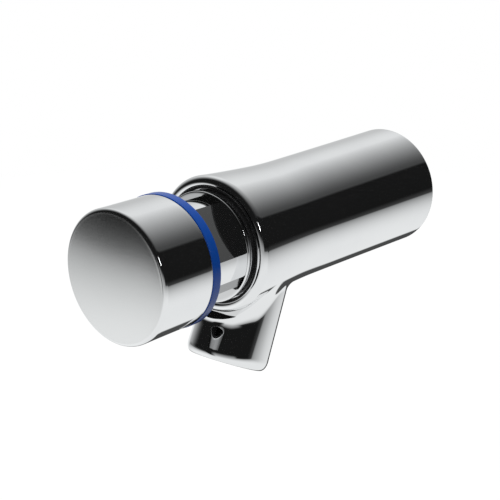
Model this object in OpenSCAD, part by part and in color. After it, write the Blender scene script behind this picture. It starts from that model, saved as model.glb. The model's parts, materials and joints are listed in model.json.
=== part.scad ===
// Push timed wall tap: a waisted body with a forward-leaning spout, a bonnet with a flatted neck and a push button.
// Stations along the tap are distances from the wall face; the tap stands out along -Y with +Z up.

/* [Body] */
// Length of the body from the wall face to its front rim
body_length = 100.4; // [96:0.2:112]
// Radius of the body at the wall
rear_r = 21.8; // [21:0.1:25]
// Smallest radius of the body
waist_r = 20.7; // [19.8:0.1:22]
// Distance from the front rim back to the waist
waist_setback = 34.4; // [28:0.2:42]
// Largest radius of the body, just behind the front rim
front_r = 22.6; // [21.8:0.1:26]
// Rounding of the front rim's outer edge
front_edge_r = 2.2; // [1:0.1:2.6]
// Rounding of the front rim's inner edge
lip_inner_r = 1.9; // [1.2:0.1:2]
// Rounding of the edge at the wall
rear_edge_r = 0.8; // [0.3:0.1:1.5]

/* [Spout] */
// Lean of the spout toward the user, from straight down
spout_tilt = 25.5; // [15:0.5:32]
// Drop of the spout's end below the tap's axis
spout_drop = 42.4; // [38:0.1:60]
// Distance from the front rim back to where the spout's axis starts
spout_setback = 27.3; // [22:0.1:32]
// Outer radius of the spout at its end
spout_end_r = 14.05; // [13.6:0.05:16]
// Outer radius of the spout at its root
spout_root_r = 12.8; // [11.5:0.1:14]
// Rounding of the spout's end edge
spout_edge_r = 2.0; // [0.5:0.1:2.2]
// Radius of the water way down the spout
spout_bore_r = 7.5; // [5:0.1:8.5]
// Radius of the aerator thread in the spout's end
aerator_thread_r = 11.7; // [11:0.05:12]
// Depth of the aerator thread
aerator_thread_depth = 10; // [9:0.1:14]

/* [Inlet] */
// Radius of the inlet thread's bore
inlet_thread_r = 9.316; // [8:0.1:10.5]
// Depth of the inlet thread
inlet_thread_len = 11; // [8:0.5:13]
// Depth of the washer recess beyond the thread's radius
washer_recess = 0.5; // [0.2:0.05:1]
// Thickness of the inlet washer
inlet_washer_t = 2; // [1.5:0.1:3]
// Thickness of the filter's rim
filter_rim_t = 1.6; // [1:0.1:2.4]
// Radius of the inlet passage behind the filter
passage_r = 7.5; // [6:0.1:7.8]
// Length of the inlet passage
passage_len = 8; // [7:0.1:12]
// Length of the filter thimble past its rim
filter_depth = 5.5; // [4:0.1:6]
// Wall of the filter thimble
filter_wall = 0.6; // [0.4:0.05:0.9]
// Radius of a hole in the filter
filter_hole_r = 0.8; // [0.4:0.05:0.9]

/* [Timing] */
// Travel of the button
stroke = 9; // [6:0.5:10]
// Bore radius of the timing cup
cup_r = 11; // [10:0.1:11.2]
// Wall of the timing cup
cup_wall = 1.4; // [1:0.1:1.6]
// Thickness of the timing cup's closed end
cup_end_t = 2.5; // [2:0.1:4]
// Distance from the chamber's rear wall to the timing cup
cup_standoff = 4; // [3:0.1:6]
// Water gap round the timing cup
cup_flow_gap = 1.6; // [1:0.1:1.8]
// Space left behind the piston at full travel
piston_end_gap = 1.5; // [0.8:0.1:3]
// Length of the piston
piston_len = 16; // [14:0.5:20]
// Thickness of the piston's head
piston_head_t = 5; // [4:0.1:7]
// Wall of the piston behind the seal
piston_wall = 3.4; // [3:0.1:3.8]
// Height of the piston's lip seal
lip_seal_h = 4; // [3:0.1:5]
// Depth of the piston's seal groove
lip_seal_depth = 2.2; // [1.6:0.1:2.4]
// Outer radius of the ruby jet
jet_r = 2; // [1.6:0.1:2.6]
// Bleed hole radius of the ruby jet
jet_hole_r = 0.6; // [0.5:0.05:0.9]
// Length of needle that passes through the jet at full travel
needle_pass = 1.5; // [0.5:0.1:2.5]
// Wire radius of the timing spring
timing_wire_r = 0.55; // [0.4:0.05:0.65]
// Mean radius of the timing spring
timing_coil_r = 5.4; // [4.6:0.1:5.6]
// Number of turns of the timing spring
timing_turns = 7; // [4:1:8]

/* [Valve] */
// Thickness of the valve washer
valve_washer_t = 3.6; // [2.5:0.1:4.5]
// Radius of the valve washer
valve_washer_r = 10.2; // [9.6:0.1:10.6]
// Thickness of the plate that clamps the valve washer
washer_plate_t = 1.4; // [1:0.1:2]
// Radius of the opening in the valve seat
seat_r = 7.5; // [6.8:0.1:8]
// Width of the raised lip of the valve seat
seat_lip_w = 1.2; // [0.8:0.1:1.6]
// Height of the raised lip of the valve seat
seat_lip_h = 1.2; // [0.8:0.1:2]
// Length of the seat ring
seat_ring_len = 11; // [9:0.5:12]
// Depth that the timing cup's legs enter the seat ring
leg_depth = 1.6; // [1:0.1:2.5]
// Section radius of the seat ring's O-ring
seat_cord_r = 1.15; // [0.9:0.05:1.3]
// Radius of the outlet chamber in the body
chamber_r = 16; // [15.6:0.1:16.8]
// Wall of the spacer cage
cage_wall = 2.2; // [1.5:0.1:2.6]
// Thickness of the spacer cage's end flanges
cage_flange_t = 2; // [1.5:0.1:3]
// Number of windows in the spacer cage
cage_windows = 6; // [4:1:8]

/* [Bonnet] */
// Radius of the bonnet's thread
bonnet_thread_r = 17; // [16.8:0.1:17.2]
// Length of the bonnet's thread in the body
bonnet_thread_len = 9.4; // [8:0.2:11]
// Gap between the body's front rim and the collar, which the gasket shows in
gasket_t = 0.6; // [0.4:0.1:1]
// Setback of the gasket from the collar's edge
gasket_setback = 0.5; // [0.3:0.1:0.6]
// Radius of the bonnet's collar
collar_r = 18.3; // [18:0.1:19]
// Thickness of the bonnet's collar
collar_t = 2; // [1.4:0.1:3]
// Rounding of the collar's front edge
collar_edge_r = 0.4; // [0.2:0.1:0.6]
// Radius of the bonnet's neck
neck_r = 16.3; // [16:0.1:17]
// Length of the bonnet's neck
neck_len = 17; // [14:0.5:20]
// Width across the deeper pair of spanner flats on the neck
flat_af = 27; // [26.4:0.1:29]
// Width across the shallower pair of spanner flats
cross_flat_af = 29; // [28:0.1:31]
// Turn of the deeper flats about the tap's axis, from straight up
flat_turn = 52.5; // [0:0.5:90]
// Radius of the bonnet's rear cavity
bonnet_cavity_r = 10.5; // [10:0.1:12]
// Radius of the gland bore
gland_r = 9; // [8:0.1:9.4]
// Depth of the circlip groove in the gland bore
circlip_depth = 0.8; // [0.5:0.05:1.2]
// Width of the gland circlip
circlip_w = 3.6; // [3:0.1:3.8]
// Thickness of the gland circlip
circlip_t = 1.2; // [0.8:0.1:1.6]
// Thickness of the gland washer
gland_washer_t = 1.5; // [1:0.1:2]
// Height of the stem seal
stem_seal_h = 2.5; // [2:0.1:3.5]
// Length of the guide bush
bush_len = 8; // [6:0.2:9]
// Outer radius of the guide bush
bush_r = 6; // [5.4:0.1:7]
// Thickness of the guide bush's flange
bush_flange_t = 1.6; // [1:0.1:2]

/* [Stem] */
// Radius of the stem
stem_r = 4; // [3.6:0.1:4.4]
// Radius of the threaded rear end of the stem
stem_thread_r = 3; // [2.6:0.1:3.2]
// Depth of the clip grooves in the stem
stem_groove = 0.8; // [0.5:0.05:1]
// Thickness of the stem's stop ring and the button's clip
clip_t = 1.2; // [0.8:0.1:1.6]
// Outer radius of the stem's stop ring
stop_ring_r = 7.6; // [7:0.1:7.8]

/* [Button] */
// Radius of the push button
button_r = 21.1; // [20.6:0.1:23]
// Length of the button's skirt from its face rim to the ring
skirt_len = 20.1; // [18.4:0.1:21.5]
// Thickness of the button's face at its rim
face_t = 3.8; // [3:0.1:5]
// Rise of the domed face at its centre
face_dome = 1.8; // [0.5:0.1:2.5]
// Rounding of the face's edge
face_edge_r = 1.4; // [0.5:0.1:1.8]
// Gap between the neck and the button's skirt
skirt_gap = 2.6; // [1.5:0.05:2.8]
// Radius of the boss inside the button
boss_r = 7; // [6.4:0.1:8]
// Length of the boss inside the button
boss_len = 8.6; // [7:0.1:10]
// Space between the boss and the bonnet at full travel
press_gap = 1; // [0.5:0.1:2]
// Width of the blue ring
ring_w = 3.5; // [2.5:0.1:5]
// Height of the blue ring above the skirt
ring_proud = 0.25; // [0:0.05:0.5]
// Length of the blue ring's spigot inside the skirt
ring_spigot = 3.5; // [2:0.1:5]
// Wall of the blue ring's spigot
ring_spigot_wall = 1.0; // [0.8:0.05:1.2]
// Wire radius of the button spring
button_wire_r = 0.6; // [0.4:0.05:0.7]
// Mean radius of the button spring
button_coil_r = 10; // [9:0.1:12]
// Number of turns of the button spring
button_turns = 5; // [3:1:6]

/* [Aerator] */
// Thickness of the aerator gasket
aerator_gasket_t = 1.5; // [1:0.1:2]
// Depth of the aerator behind the spout's end
aerator_inset = 0.8; // [0.3:0.1:2]
// Wall of the aerator housing
aerator_wall = 1.6; // [1.2:0.1:1.9]
// Width of the aerator housing's inner lip
aerator_lip_w = 0.9; // [0.5:0.1:1.4]
// Thickness of the aerator housing's inner lip
aerator_lip_t = 1; // [0.6:0.1:1.5]
// Thickness of the aerator mesh
mesh_t = 0.8; // [0.5:0.1:1.2]
// Size of a square hole in the aerator mesh
mesh_hole = 1.5; // [0.8:0.1:1.6]
// Spacing of the aerator mesh
mesh_pitch = 2.3; // [2:0.1:3]
// Thickness of the flow regulator
regulator_t = 2.4; // [1.8:0.1:3]

/* [Fits] */
// Running clearance of the stem and the jet's needle
run_gap = 0.05; // [0.02:0.01:0.1]
// Clearance between pieces that are screwed or slid together
fit_gap = 0.1; // [0.05:0.01:0.15]
// Rest gap of the valve washer and the stop ring
rest_gap = 0.1; // [0.05:0.01:0.2]

/* [Hidden] */
$fn = 96;
eps = 0.5;

// Finishes
chrome = "#d4d8db";
brass = "#c9a24a";
steel = "#b4b8bc";
black_rubber = "#26272a";
white_plastic = "#e8e6df";
ring_blue = "#1f5fd0";
ruby_red = "#b0203a";

// Stations of the inlet, from the wall
washer_s = inlet_thread_len;
rim_s = washer_s + inlet_washer_t;
passage_s = rim_s + filter_rim_t;
rear_chamber_s = passage_s + passage_len;
recess_r = inlet_thread_r + washer_recess;

// Stations of the timing cup and the valve
cup_s = rear_chamber_s + cup_standoff;
cup_floor_s = cup_s + cup_end_t;
piston_rear_s = cup_floor_s + piston_end_gap + stroke;
piston_front_s = piston_rear_s + piston_len;
piston_floor_s = piston_front_s - piston_head_t;
valve_face_s = piston_front_s + valve_washer_t;
plate_front_s = valve_face_s + washer_plate_t;
seat_lip_s = valve_face_s + rest_gap;
seat_s = seat_lip_s + seat_lip_h;
seat_front_s = seat_s + seat_ring_len;
cup_outer_r = cup_r + cup_wall;
rear_chamber_r = cup_outer_r + cup_flow_gap;
piston_r = cup_r - fit_gap - run_gap;
piston_bore_r = piston_r - piston_wall;
seal_groove_r = piston_r - lip_seal_depth;

// Stations of the bonnet and the gland, from the front of the body
bonnet_rear_s = body_length - bonnet_thread_len;
lip_s = body_length - lip_inner_r;
mouth_r = collar_r + fit_gap;
collar_s = body_length + gasket_t;
neck_s = collar_s + collar_t;
bonnet_front_s = neck_s + neck_len;
bush_s = bonnet_front_s - bush_len;
bush_flange_s = bush_s - bush_flange_t;
stem_seal_s = bush_flange_s - stem_seal_h;
gland_washer_s = stem_seal_s - gland_washer_t;
circlip_s = gland_washer_s - circlip_t;
gland_s = circlip_s - circlip_t;
cage_r = chamber_r - cage_wall - fit_gap;

// Stations of the button and the stem
boss_s = bonnet_front_s + stroke + press_gap;
button_floor_s = boss_s + boss_len;
button_rim_s = button_floor_s + face_t;
ring_front_s = button_rim_s - skirt_len;
ring_rear_s = ring_front_s - ring_w;
skirt_r = neck_r + skirt_gap;
spigot_r = skirt_r + ring_spigot_wall;
clip_s = boss_s + boss_len / 3;
stem_front_s = button_floor_s - 1;
stem_rear_s = piston_floor_s;
stop_ring_s = circlip_s - rest_gap - clip_t;
clip_r = stem_r + stem_groove;

// Spout lengths, measured down its own axis from the tap's axis
spout_s = body_length - spout_setback;
spout_len = spout_drop / cos(spout_tilt);
aerator_seat_l = spout_len - aerator_thread_depth;
aerator_r = aerator_thread_r - fit_gap;
aerator_bore_r = aerator_r - aerator_wall;
aerator_top_l = aerator_seat_l + aerator_gasket_t;
aerator_end_l = spout_len - aerator_inset;
mesh_l = aerator_end_l - aerator_lip_t - mesh_t;
core_l = aerator_top_l + regulator_t;
core_t = mesh_l - core_l;
insert_r = aerator_bore_r - fit_gap;

// Profile of the body
flare_power = 1.3;
taper_power = 1.15;
waist_s = body_length - waist_setback;
flare_end_s = body_length - front_edge_r;
taper_steps = 8;
flare_steps = 10;
edge_steps = 5;

function arc(cx, cy, r, a0, a1) =
    [for (i = [0 : edge_steps]) let (a = a0 + (a1 - a0) * i / edge_steps) [cx + r * cos(a), cy + r * sin(a)]];

// Radius of the body at a station: a straight taper behind the waist and a flare in front of it
function body_r(s) = waist_r
    + (rear_r - waist_r) * pow(max(0, 1 - s / waist_s), taper_power)
    + (front_r - waist_r) * pow(max(0, (s - waist_s) / (flare_end_s - waist_s)), flare_power);

// Points of a coil spring's tube, one hexagon for each step along the helix
coil_sides = 6;
coil_steps = 12;
function coil_centre(coil_r, wire_r, len, turns, t) =
    [coil_r * cos(360 * turns * t), coil_r * sin(360 * turns * t), wire_r + (len - 2 * wire_r) * t];
function coil_points(coil_r, wire_r, len, turns) =
    [for (i = [0 : coil_steps * turns], k = [0 : coil_sides - 1])
        let (t = i / (coil_steps * turns),
            a = 360 * turns * t,
            b = 360 * k / coil_sides,
            out = [cos(a), sin(a), 0],
            up = [0, 0, 1])
        coil_centre(coil_r, wire_r, len, turns, t) + wire_r * (cos(b) * out + sin(b) * up)];
function coil_faces(rings) = concat(
    [[for (k = [0 : coil_sides - 1]) k]],
    [for (i = [0 : rings - 2], k = [0 : coil_sides - 1])
        let (a = i * coil_sides + k, b = i * coil_sides + (k + 1) % coil_sides) [b, a, a + coil_sides]],
    [for (i = [0 : rings - 2], k = [0 : coil_sides - 1])
        let (a = i * coil_sides + k, b = i * coil_sides + (k + 1) % coil_sides)
        [b, a + coil_sides, b + coil_sides]],
    [[for (k = [coil_sides - 1 : -1 : 0]) (rings - 1) * coil_sides + k]]);

// Clear gap between neighbouring turns of a spring, from the points of two turns
function coil_gap(coil_r, wire_r, len, turns) =
    norm(coil_centre(coil_r, wire_r, len, turns, 1 / turns) - coil_centre(coil_r, wire_r, len, turns, 0))
    - 2 * wire_r;

module coil(coil_r, wire_r, len, turns) {
    polyhedron(coil_points(coil_r, wire_r, len, turns), coil_faces(coil_steps * turns + 1));
}

// Places a piece whose local Z runs out from the wall along the tap
module on_axis() {
    rotate([90, 0, 0]) children();
}

// Places a piece whose local Z runs down the spout
module on_spout() {
    translate([0, -spout_s, 0]) rotate([180 - spout_tilt, 0, 0]) children();
}

// Solid disc between two stations
module disc(r, s0, s1) {
    translate([0, 0, s0]) cylinder(h = s1 - s0, r = r);
}

// Ring between two stations
module ring(r_out, r_in, s0, s1) {
    difference() {
        disc(r_out, s0, s1);
        disc(r_in, s0 - eps, s1 + eps);
    }
}

// Torus with a round section
module torus(r, cord_r, s) {
    translate([0, 0, s]) rotate_extrude() translate([r, 0]) circle(r = cord_r, $fn = 32);
}

// Snap ring: a ring with a gap on one side
module snap_ring(r_out, r_in, s0, s1, gap) {
    difference() {
        ring(r_out, r_in, s0, s1);
        translate([-gap / 2, 0, s0 - eps]) cube([gap, r_out + eps, s1 - s0 + 2 * eps]);
    }
}

module body_outline() {
    polygon(concat(
        [[0, 0]],
        arc(body_r(0) - rear_edge_r, rear_edge_r, rear_edge_r, -90, 0),
        [for (i = [1 : taper_steps]) let (s = rear_edge_r + (waist_s - rear_edge_r) * i / taper_steps) [body_r(s), s]],
        [for (i = [1 : flare_steps - 1]) let (s = waist_s + (flare_end_s - waist_s) * i / flare_steps) [body_r(s), s]],
        arc(front_r - front_edge_r, flare_end_s, front_edge_r, 0, 90),
        [[0, body_length]]));
}

// Mouth of the body: a seat for the gasket, rounded at its edge
module mouth_outline() {
    polygon(concat(
        [[0, lip_s]],
        arc(mouth_r + lip_inner_r, lip_s, lip_inner_r, 180, 90),
        [[mouth_r + lip_inner_r, body_length + eps], [0, body_length + eps]]));
}

module spout_outline() {
    polygon(concat(
        [[0, 0], [spout_root_r, 0]],
        arc(spout_end_r - spout_edge_r, spout_len - spout_edge_r, spout_edge_r, 0, 90),
        [[0, spout_len]]));
}

module body() {
    color(chrome) difference() {
        union() {
            on_axis() rotate_extrude() body_outline();
            on_spout() rotate_extrude() spout_outline();
        }
        on_axis() {
            disc(inlet_thread_r, -eps, inlet_thread_len + eps);
            disc(recess_r, washer_s, passage_s);
            disc(passage_r, passage_s - eps, rear_chamber_s + eps);
            disc(rear_chamber_r, rear_chamber_s, seat_s + eps);
            disc(chamber_r, seat_s, bonnet_rear_s + eps);
            disc(bonnet_thread_r, bonnet_rear_s, body_length + eps);
            rotate_extrude() mouth_outline();
        }
        on_spout() {
            disc(spout_bore_r, chamber_r / 2, aerator_seat_l + eps);
            disc(aerator_thread_r, aerator_seat_l, spout_len + eps);
        }
    }
}

module inlet_washer() {
    color(black_rubber) on_axis() ring(recess_r - fit_gap, passage_r - 1, washer_s, rim_s);
}

module filter_rim() {
    color(white_plastic) on_axis() ring(recess_r - fit_gap, passage_r - fit_gap, rim_s, passage_s);
}

module filter_thimble() {
    thimble_r = passage_r - fit_gap;
    tip_s = passage_s + filter_depth;
    rows = 3;
    around = 12;
    row_pitch = (filter_depth - filter_wall) / rows;
    color(steel) on_axis() difference() {
        disc(thimble_r, rim_s, tip_s);
        disc(thimble_r - filter_wall, rim_s - eps, tip_s - filter_wall);
        for (row = [0 : rows - 1], k = [0 : around - 1])
            translate([0, 0, passage_s + row_pitch * (row + 0.5)])
                rotate([0, 90, (k + row / 2) * 360 / around]) cylinder(h = thimble_r + eps, r = filter_hole_r, $fn = 24);
        for (k = [0 : 5])
            rotate(k * 60) translate([thimble_r / 2, 0, tip_s - filter_wall - eps])
                cylinder(h = filter_wall + 2 * eps, r = filter_hole_r, $fn = 24);
        translate([0, 0, tip_s - filter_wall - eps]) cylinder(h = filter_wall + 2 * eps, r = filter_hole_r, $fn = 24);
    }
}

module timing_cup() {
    window_s = piston_front_s - piston_head_t / 2;
    window_w = cup_r;
    color(brass) on_axis() difference() {
        union() {
            disc(cup_outer_r, cup_s, seat_s + leg_depth);
            for (k = [0 : 2])
                rotate(k * 120) translate([-cup_wall / 2, 0, cup_s])
                    cube([cup_wall, rear_chamber_r - fit_gap, window_s - cup_s]);
        }
        disc(cup_r, cup_floor_s, seat_s + leg_depth + eps);
        disc(jet_r, cup_s - eps, cup_floor_s + eps);
        for (k = [0 : 1])
            rotate(45 + k * 90) translate([-window_w / 2, -cup_outer_r - eps, window_s])
                cube([window_w, 2 * (cup_outer_r + eps), seat_s + leg_depth + eps - window_s]);
    }
}

module ruby_jet() {
    color(ruby_red) on_axis() ring(jet_r, jet_hole_r, cup_s, cup_floor_s);
}

module cleaning_needle() {
    needle_r = jet_hole_r - 2 * run_gap;
    tip_s = cup_s - needle_pass + stroke;
    color(steel) on_axis() disc(needle_r, tip_s, piston_floor_s + piston_head_t / 3);
}

module timing_spring() {
    len = piston_floor_s - cup_floor_s;
    echo(timing_spring_gap = coil_gap(timing_coil_r, timing_wire_r, len, timing_turns));
    color(steel) on_axis() translate([0, 0, cup_floor_s]) coil(timing_coil_r, timing_wire_r, len, timing_turns);
}

module piston() {
    groove_s = piston_rear_s + 1.5;
    needle_r = jet_hole_r - 2 * run_gap;
    color(white_plastic) on_axis() difference() {
        disc(piston_r, piston_rear_s, piston_front_s);
        disc(piston_bore_r, piston_rear_s - eps, piston_floor_s);
        ring(piston_r + eps, seal_groove_r, groove_s, groove_s + lip_seal_h);
        disc(stem_thread_r, piston_floor_s + piston_head_t / 3, piston_front_s + eps);
        disc(needle_r, piston_floor_s - eps, piston_floor_s + piston_head_t / 3 + eps);
    }
}

module piston_seal() {
    groove_s = piston_rear_s + 1.5;
    lip_w = lip_seal_depth / 3;
    color(black_rubber) on_axis() difference() {
        ring(cup_r - fit_gap, seal_groove_r, groove_s, groove_s + lip_seal_h);
        ring(piston_r - lip_w, seal_groove_r + lip_w, groove_s - eps, groove_s + lip_seal_h / 2);
    }
}

module valve_washer() {
    color(black_rubber) on_axis() ring(valve_washer_r, stem_thread_r, piston_front_s, valve_face_s);
}

module washer_plate() {
    plate_r = seat_r - seat_lip_w;
    color(brass) on_axis() ring(plate_r, stem_thread_r, valve_face_s, plate_front_s);
}

module seat_ring() {
    groove_w = 2.4 * seat_cord_r;
    groove_s = (seat_s + leg_depth + seat_front_s - groove_w) / 2;
    color(brass) on_axis() difference() {
        union() {
            disc(chamber_r - fit_gap, seat_s, seat_front_s);
            disc(seat_r + seat_lip_w, seat_lip_s, seat_s + eps);
        }
        disc(seat_r, seat_lip_s - eps, seat_front_s + eps);
        ring(cup_outer_r + fit_gap, cup_r - fit_gap, seat_s - eps, seat_s + leg_depth);
        ring(chamber_r + eps, chamber_r - 2 * seat_cord_r, groove_s, groove_s + groove_w);
    }
}

module seat_oring() {
    groove_w = 2.4 * seat_cord_r;
    groove_s = (seat_s + leg_depth + seat_front_s - groove_w) / 2;
    color(black_rubber) on_axis() torus(chamber_r - seat_cord_r, seat_cord_r - run_gap, groove_s + groove_w / 2);
}

module spacer_cage() {
    window_s = seat_front_s + 1.5 * cage_flange_t;
    window_end_s = bonnet_rear_s - 1.5 * cage_flange_t;
    window_w = 0.6 * 2 * PI * (cage_r - cage_wall) / cage_windows;
    color(white_plastic) on_axis() difference() {
        union() {
            disc(cage_r, seat_front_s, bonnet_rear_s);
            disc(chamber_r - fit_gap, seat_front_s, seat_front_s + cage_flange_t);
            disc(chamber_r - fit_gap, bonnet_rear_s - cage_flange_t, bonnet_rear_s);
        }
        disc(cage_r - cage_wall, seat_front_s - eps, bonnet_rear_s + eps);
        for (k = [0 : cage_windows - 1])
            rotate((k + 0.5) * 360 / cage_windows) translate([-window_w / 2, 0, window_s])
                cube([window_w, chamber_r, window_end_s - window_s]);
    }
}

module stem() {
    color(steel) on_axis() difference() {
        union() {
            disc(stem_r, plate_front_s, stem_front_s);
            disc(stem_thread_r, stem_rear_s + piston_head_t / 3, plate_front_s + eps);
        }
        ring(stem_r + eps, stem_r - stem_groove, stop_ring_s, stop_ring_s + clip_t);
        ring(stem_r + eps, stem_r - stem_groove, clip_s, clip_s + clip_t);
    }
}

module stop_ring() {
    color(steel) on_axis()
        snap_ring(stop_ring_r, stem_r - stem_groove, stop_ring_s, stop_ring_s + clip_t, stem_r);
}

module guide_bush() {
    color(white_plastic) on_axis() difference() {
        union() {
            disc(bush_r, bush_flange_s, bonnet_front_s);
            disc(gland_r - fit_gap, bush_flange_s, bush_s);
        }
        disc(stem_r + run_gap, bush_flange_s - eps, bonnet_front_s + eps);
    }
}

module stem_seal() {
    seal_r = gland_r - fit_gap;
    lip_w = (seal_r - stem_r) / 3;
    color(black_rubber) on_axis() difference() {
        ring(seal_r, stem_r + run_gap, stem_seal_s, bush_flange_s);
        ring(seal_r - lip_w, stem_r + lip_w, stem_seal_s - eps, stem_seal_s + stem_seal_h / 2);
    }
}

module gland_washer() {
    color(brass) on_axis() ring(gland_r - fit_gap, stem_r + 2 * fit_gap, gland_washer_s, stem_seal_s);
}

module gland_circlip() {
    outer_r = gland_r + circlip_depth;
    color(steel) on_axis()
        snap_ring(outer_r, outer_r - circlip_w, circlip_s, gland_washer_s, stem_r);
}

module bonnet() {
    color(chrome) on_axis() difference() {
        union() {
            disc(bonnet_thread_r - run_gap, bonnet_rear_s, collar_s + eps);
            rotate_extrude() polygon(concat(
                [[0, collar_s], [collar_r, collar_s]],
                arc(collar_r - collar_edge_r, neck_s - collar_edge_r, collar_edge_r, 0, 90),
                [[0, neck_s]]));
            rotate(-flat_turn) intersection() {
                disc(neck_r, neck_s - eps, bonnet_front_s);
                translate([-cross_flat_af / 2, -flat_af / 2, neck_s - eps])
                    cube([cross_flat_af, flat_af, neck_len + eps]);
            }
        }
        disc(bonnet_cavity_r, bonnet_rear_s - eps, gland_s);
        disc(gland_r, gland_s - eps, bush_s);
        disc(gland_r + circlip_depth, circlip_s, gland_washer_s);
        disc(bush_r, bush_s - eps, bonnet_front_s + eps);
    }
}

module bonnet_gasket() {
    color(black_rubber) on_axis() ring(collar_r - gasket_setback, bonnet_thread_r + fit_gap, lip_s, collar_s);
}

// Half section of the button: a skirted cap with a domed face and a boss
module button_outline() {
    dome_steps = 8;
    face_r = button_r - face_edge_r;
    dome_r = (face_r * face_r + face_dome * face_dome) / (2 * face_dome);
    dome_a = asin(face_r / dome_r);
    edge_a = 90 - dome_a;
    polygon(concat(
        [[0, button_floor_s], [skirt_r, button_floor_s], [skirt_r, ring_front_s + ring_spigot]],
        [[spigot_r + run_gap, ring_front_s + ring_spigot], [spigot_r + run_gap, ring_front_s]],
        [[button_r, ring_front_s]],
        arc(face_r, button_rim_s - face_edge_r, face_edge_r, 0, edge_a),
        [for (i = [0 : dome_steps - 1])
            let (a = dome_a * (1 - i / dome_steps))
            [dome_r * sin(a), button_rim_s + face_dome - dome_r + dome_r * cos(a)]],
        [[0, button_rim_s + face_dome]]));
}

module push_button() {
    color(chrome) on_axis() difference() {
        union() {
            rotate_extrude() button_outline();
            disc(boss_r, boss_s, button_floor_s + eps);
        }
        disc(stem_r + run_gap, boss_s - eps, stem_front_s + rest_gap);
        disc(clip_r, clip_s, clip_s + clip_t);
    }
}

module indicator_ring() {
    color(ring_blue) on_axis() difference() {
        union() {
            disc(button_r + ring_proud, ring_rear_s, ring_front_s);
            disc(spigot_r, ring_front_s - eps, ring_front_s + ring_spigot);
        }
        disc(skirt_r, ring_rear_s - eps, ring_front_s + ring_spigot + eps);
    }
}

module button_clip() {
    color(steel) on_axis()
        snap_ring(clip_r, stem_r - stem_groove + run_gap, clip_s + run_gap, clip_s + clip_t - run_gap, stem_r);
}

module button_spring() {
    len = button_floor_s - bonnet_front_s;
    echo(button_spring_gap = coil_gap(button_coil_r, button_wire_r, len, button_turns));
    color(steel) on_axis() translate([0, 0, bonnet_front_s]) coil(button_coil_r, button_wire_r, len, button_turns);
}

module aerator_gasket() {
    color(black_rubber) on_spout() ring(aerator_r, spout_bore_r + 1, aerator_seat_l, aerator_top_l);
}

module flow_regulator() {
    slots = 6;
    slot_w = insert_r / slots;
    color(white_plastic) on_spout() difference() {
        disc(insert_r, aerator_top_l, core_l);
        for (k = [0 : slots - 1])
            rotate(k * 360 / slots) translate([insert_r / 3, -slot_w / 2, aerator_top_l - eps])
                cube([insert_r / 2, slot_w, regulator_t + 2 * eps]);
    }
}

module aerator_core() {
    holes = 12;
    hole_r = insert_r / 9;
    color(white_plastic) on_spout() difference() {
        disc(insert_r, core_l, mesh_l);
        for (k = [0 : holes - 1])
            rotate(k * 360 / holes) translate([0.75 * insert_r, 0, core_l - eps])
                cylinder(h = core_t + 2 * eps, r = hole_r, $fn = 24);
        for (k = [0 : holes / 2 - 1])
            rotate(k * 720 / holes) translate([0.4 * insert_r, 0, core_l - eps])
                cylinder(h = core_t + 2 * eps, r = hole_r, $fn = 24);
    }
}

module aerator_mesh() {
    web = mesh_pitch - mesh_hole;
    reach = insert_r - web - mesh_hole / sqrt(2);
    half = floor(reach / mesh_pitch);
    color(steel) on_spout() difference() {
        disc(insert_r, mesh_l, mesh_l + mesh_t);
        for (i = [-half : half], j = [-half : half])
            if (norm([i, j]) * mesh_pitch <= reach)
                translate([i * mesh_pitch - mesh_hole / 2, j * mesh_pitch - mesh_hole / 2, mesh_l - eps])
                    cube([mesh_hole, mesh_hole, mesh_t + 2 * eps]);
    }
}

module aerator_housing() {
    key_w = 2 * aerator_wall;
    color(chrome) on_spout() difference() {
        disc(aerator_r, aerator_top_l, aerator_end_l);
        disc(aerator_bore_r, aerator_top_l - eps, aerator_end_l - aerator_lip_t);
        disc(aerator_bore_r - aerator_lip_w, aerator_top_l - eps, aerator_end_l + eps);
        for (k = [0 : 1])
            rotate(k * 90) translate([-aerator_r - eps, -key_w / 2, aerator_end_l - aerator_lip_t / 2])
                cube([2 * (aerator_r + eps), key_w, aerator_lip_t]);
    }
}

body();
inlet_washer();
filter_rim();
filter_thimble();
timing_cup();
ruby_jet();
cleaning_needle();
timing_spring();
piston();
piston_seal();
valve_washer();
washer_plate();
seat_ring();
seat_oring();
spacer_cage();
stem();
stop_ring();
guide_bush();
stem_seal();
gland_washer();
gland_circlip();
bonnet();
bonnet_gasket();
push_button();
indicator_ring();
button_clip();
button_spring();
aerator_gasket();
flow_regulator();
aerator_core();
aerator_mesh();
aerator_housing();
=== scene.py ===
import json
import math

import bmesh
import bpy
import numpy as np
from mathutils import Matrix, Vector


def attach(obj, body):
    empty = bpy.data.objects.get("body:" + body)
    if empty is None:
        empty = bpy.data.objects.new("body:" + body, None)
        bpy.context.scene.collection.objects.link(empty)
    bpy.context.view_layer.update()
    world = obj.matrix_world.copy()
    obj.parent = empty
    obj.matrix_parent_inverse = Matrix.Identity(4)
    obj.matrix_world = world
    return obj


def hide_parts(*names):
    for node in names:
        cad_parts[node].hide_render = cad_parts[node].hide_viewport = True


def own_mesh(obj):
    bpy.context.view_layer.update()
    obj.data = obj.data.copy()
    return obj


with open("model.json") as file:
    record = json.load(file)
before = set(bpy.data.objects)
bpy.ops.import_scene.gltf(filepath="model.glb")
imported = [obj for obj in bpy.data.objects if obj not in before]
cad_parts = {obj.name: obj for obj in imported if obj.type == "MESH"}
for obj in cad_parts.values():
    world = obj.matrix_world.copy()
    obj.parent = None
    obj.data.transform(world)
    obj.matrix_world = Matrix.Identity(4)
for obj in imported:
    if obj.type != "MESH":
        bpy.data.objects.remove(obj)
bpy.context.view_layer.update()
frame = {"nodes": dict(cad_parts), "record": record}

# Lengths are in millimetres until a mesh is made. s is the distance from the wall along the tap's axis.
# On the spout, l is the distance down its own axis and turn is the angle round it, 0 at the front.
MM = 0.001
TURN = 2 * math.pi
DEGREES = 180 / math.pi

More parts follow.
